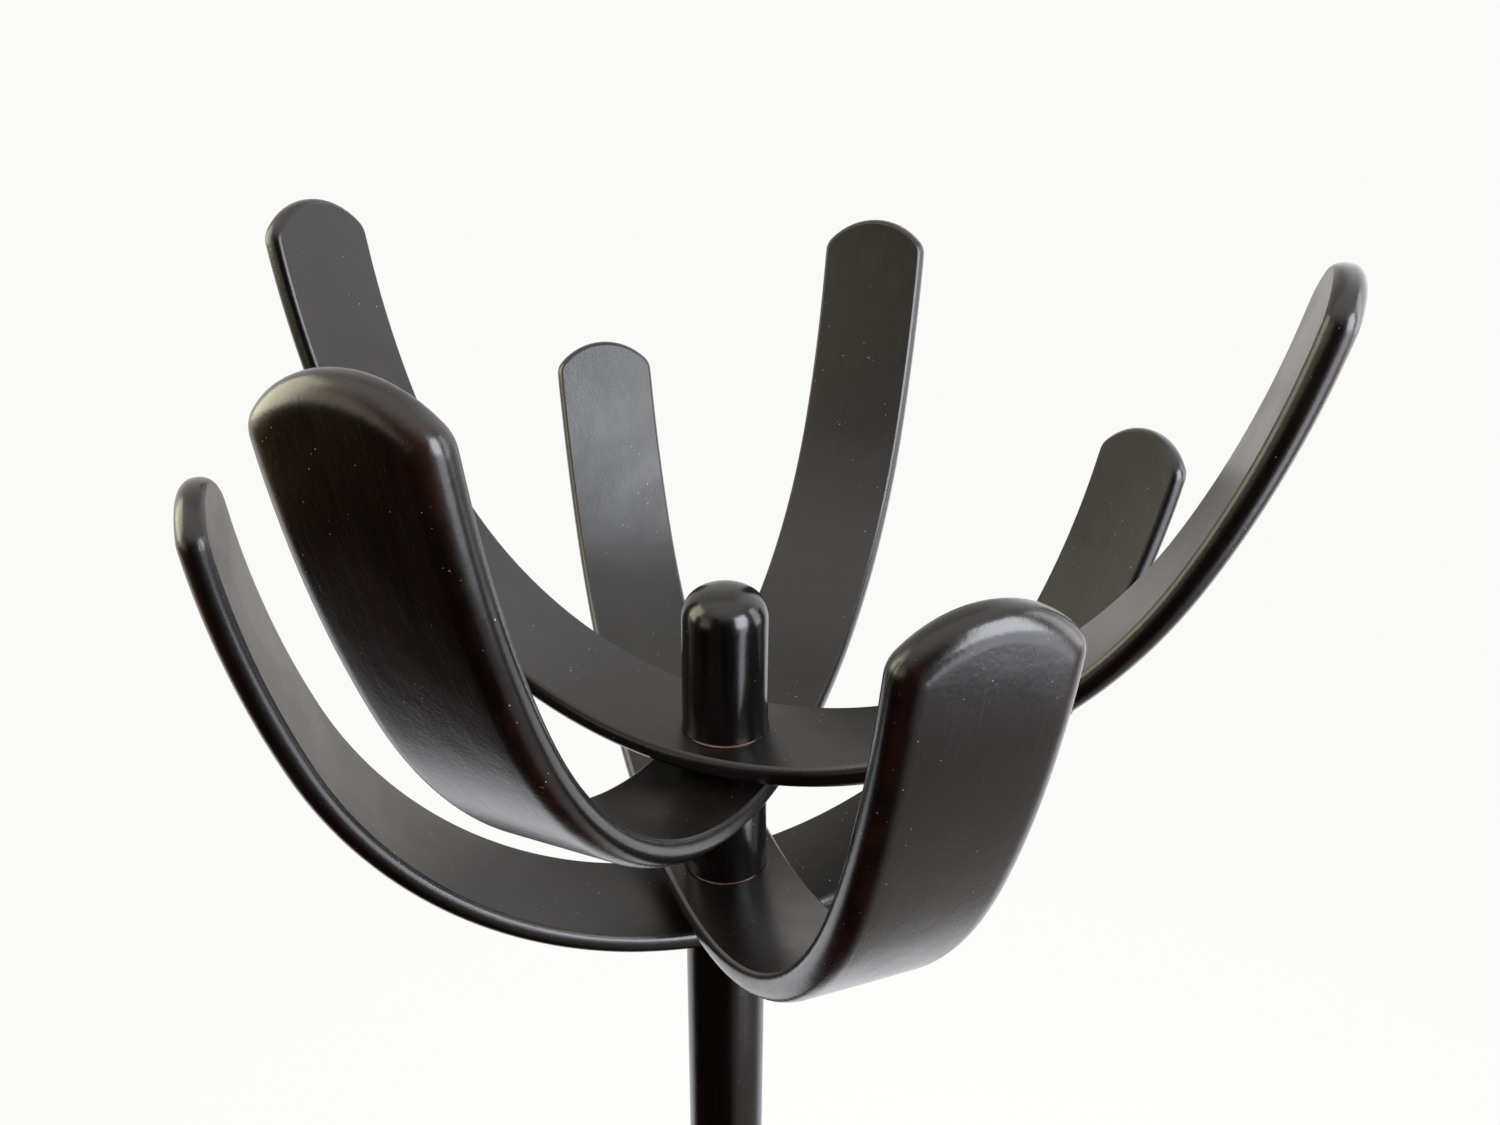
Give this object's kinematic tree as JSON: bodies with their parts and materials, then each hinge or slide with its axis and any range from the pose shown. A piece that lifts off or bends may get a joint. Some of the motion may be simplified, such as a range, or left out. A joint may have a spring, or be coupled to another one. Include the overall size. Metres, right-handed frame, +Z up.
{
  "type": "coat stand",
  "caption": "Free-standing bentwood coat stand: U-shaped bows with rounded arms fan out at the head of a round pole, clamped by a domed finial, over a crossed-bow foot.",
  "frame": {"origin": "on the floor, under the pole's centre line", "axes": "+Z up along the pole; +X along the upper foot bow and +Y along the lower one"},
  "size_m": [0.524, 0.5114, 1.7039],
  "materials": {
    "bow_wood": "satin lacquer",
    "turned_wood": "satin lacquer",
    "steel": "zinc plated",
    "brass": "turned",
    "beech": "bare",
    "rubber": "matt"
  },
  "bodies": {
    "stand": {"pole": "turned_wood", "tie_rod": "steel", "pole_top_insert": "brass", "pole_bottom_insert": "brass", "upper_spacer": "turned_wood", "middle_spacer": "turned_wood", "lower_spacer": "turned_wood", "upper_foot_bow": "bow_wood", "lower_foot_bow": "bow_wood", "foot_pad_1": "rubber", "foot_pad_2": "rubber", "foot_pad_3": "rubber", "foot_pad_4": "rubber", "dowel_1": "beech", "dowel_2": "beech", "base_bolt": "steel", "base_washer": "steel", "base_boss": "turned_wood"},
    "swivel_bow_1": {"bow_1": "bow_wood"},
    "swivel_bow_2": {"bow_2": "bow_wood"},
    "swivel_bow_3": {"bow_3": "bow_wood"},
    "swivel_bow_4": {"bow_4": "bow_wood"},
    "clamp": {"clamp_washer": "steel"},
    "finial": {"finial": "turned_wood", "finial_insert": "brass"}
  },
  "joints": [
    {"name": "bow_1_swivel", "type": "hinge", "parent": "stand", "child": "swivel_bow_1", "pos_m": [0, 0, 1.47], "axis": [0, 0, 1], "range_deg": [-12, 12]},
    {"name": "bow_2_swivel", "type": "hinge", "parent": "stand", "child": "swivel_bow_2", "pos_m": [0, 0, 1.455], "axis": [0, 0, 1], "range_deg": [-12, 12]},
    {"name": "bow_3_swivel", "type": "hinge", "parent": "stand", "child": "swivel_bow_3", "pos_m": [0, 0, 1.394], "axis": [0, 0, 1], "range_deg": [-12, 12]},
    {"name": "bow_4_swivel", "type": "hinge", "parent": "stand", "child": "swivel_bow_4", "pos_m": [0, 0, 1.377], "axis": [0, 0, 1], "range_deg": [-12, 12]},
    {"name": "finial_turn", "type": "hinge", "parent": "stand", "child": "clamp", "pos_m": [0, 0, 1.476], "axis": [0, 0, 1], "range_deg": [0, 1441]},
    {"name": "finial_lift", "type": "slide", "parent": "clamp", "child": "finial", "axis": [0, 0, 1], "range_m": [0, 0.006]}
  ],
  "couplings": [
    {"joint": "finial_turn", "follows": "finial_lift", "rad_per_m": 4188.8}
  ]
}
